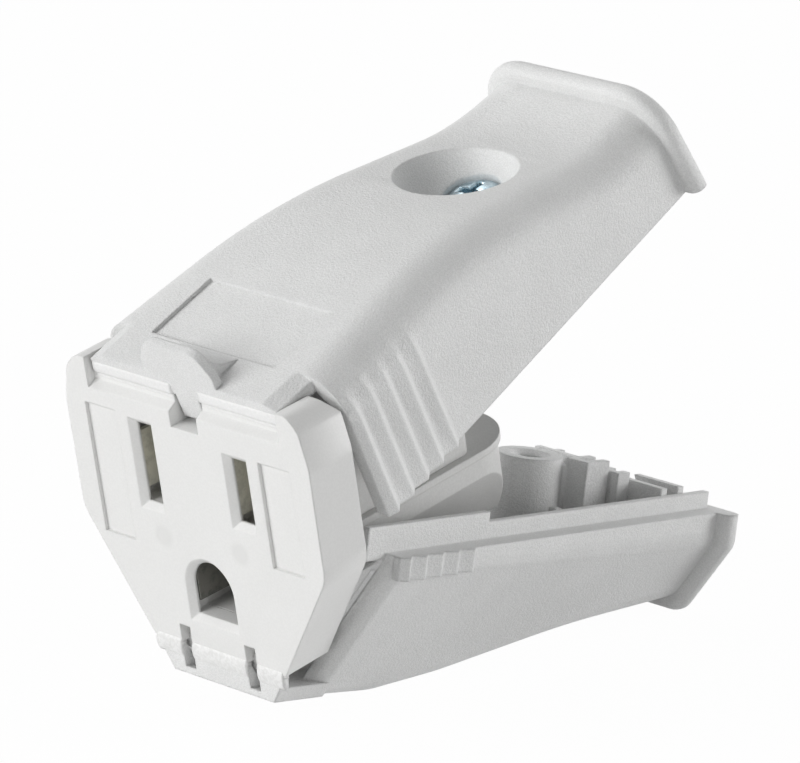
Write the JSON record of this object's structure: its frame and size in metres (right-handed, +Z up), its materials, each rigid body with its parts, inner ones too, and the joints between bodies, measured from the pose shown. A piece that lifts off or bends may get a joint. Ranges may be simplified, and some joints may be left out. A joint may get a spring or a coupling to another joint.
{
  "type": "straight blade cord connector",
  "caption": "Hinged clamshell power cord connector standing open, with a slotted polarised mating face, thumb tab, ribbed grips, captive assembly screw and flanged cord end.",
  "frame": {"origin": "Centre of the bounding box in plan, at the lowest point, with the part standing open on its lower shell.", "axes": "+Y runs from the mating face to the cord end, +Z is up, +X completes a right-handed set and lies along both hinge lines."},
  "size_m": [0.0336, 0.0686, 0.0567],
  "materials": {
    "face_plastic": "smooth white moulded nylon, fine satin",
    "shell_plastic": "white moulded nylon with a fine sparkled grain",
    "contact_brass": "rolled sheet, slightly dull",
    "terminal_steel": "zinc plated",
    "zinc_screw": "bright zinc plate with a blue tint"
  },
  "bodies": {
    "face": {"face_plate": "face_plastic", "carrier_cover": "shell_plastic", "carrier_base": "shell_plastic", "hot_contact": "contact_brass", "neutral_contact": "contact_brass", "ground_contact": "contact_brass"},
    "upper": {"upper_shell": "shell_plastic"},
    "lower": {"lower_shell": "shell_plastic"},
    "screw": {"assembly_screw": "zinc_screw"},
    "hot_terminal": {"hot_terminal_screw": "terminal_steel", "hot_clamp_plate": "contact_brass"},
    "neutral_terminal": {"neutral_terminal_screw": "terminal_steel", "neutral_clamp_plate": "contact_brass"},
    "ground_terminal": {"ground_terminal_screw": "terminal_steel", "ground_clamp_plate": "contact_brass"}
  },
  "joints": [
    {"name": "upper_hinge", "type": "hinge", "parent": "face", "child": "upper", "pos_m": [0, -0.03131, 0.03245], "axis": [1, 0, 0], "range_deg": [-14.8, 45]},
    {"name": "lower_hinge", "type": "hinge", "parent": "face", "child": "lower", "pos_m": [0, -0.02638, 0.00577], "axis": [1, 0, 0], "range_deg": [-45, 20.1]},
    {"name": "assembly_screw_slide", "type": "slide", "parent": "upper", "child": "screw", "axis": [0, -0.4648, 0.8854], "range_m": [0, 0.007]},
    {"name": "hot_terminal_slide", "type": "slide", "parent": "face", "child": "hot_terminal", "axis": [0, -0.2233, 0.9748], "range_m": [0, 0.0012]},
    {"name": "neutral_terminal_slide", "type": "slide", "parent": "face", "child": "neutral_terminal", "axis": [0, -0.2233, 0.9748], "range_m": [0, 0.0012]},
    {"name": "ground_terminal_slide", "type": "slide", "parent": "face", "child": "ground_terminal", "axis": [0, 0.2233, -0.9748], "range_m": [0, 0.0012]}
  ]
}
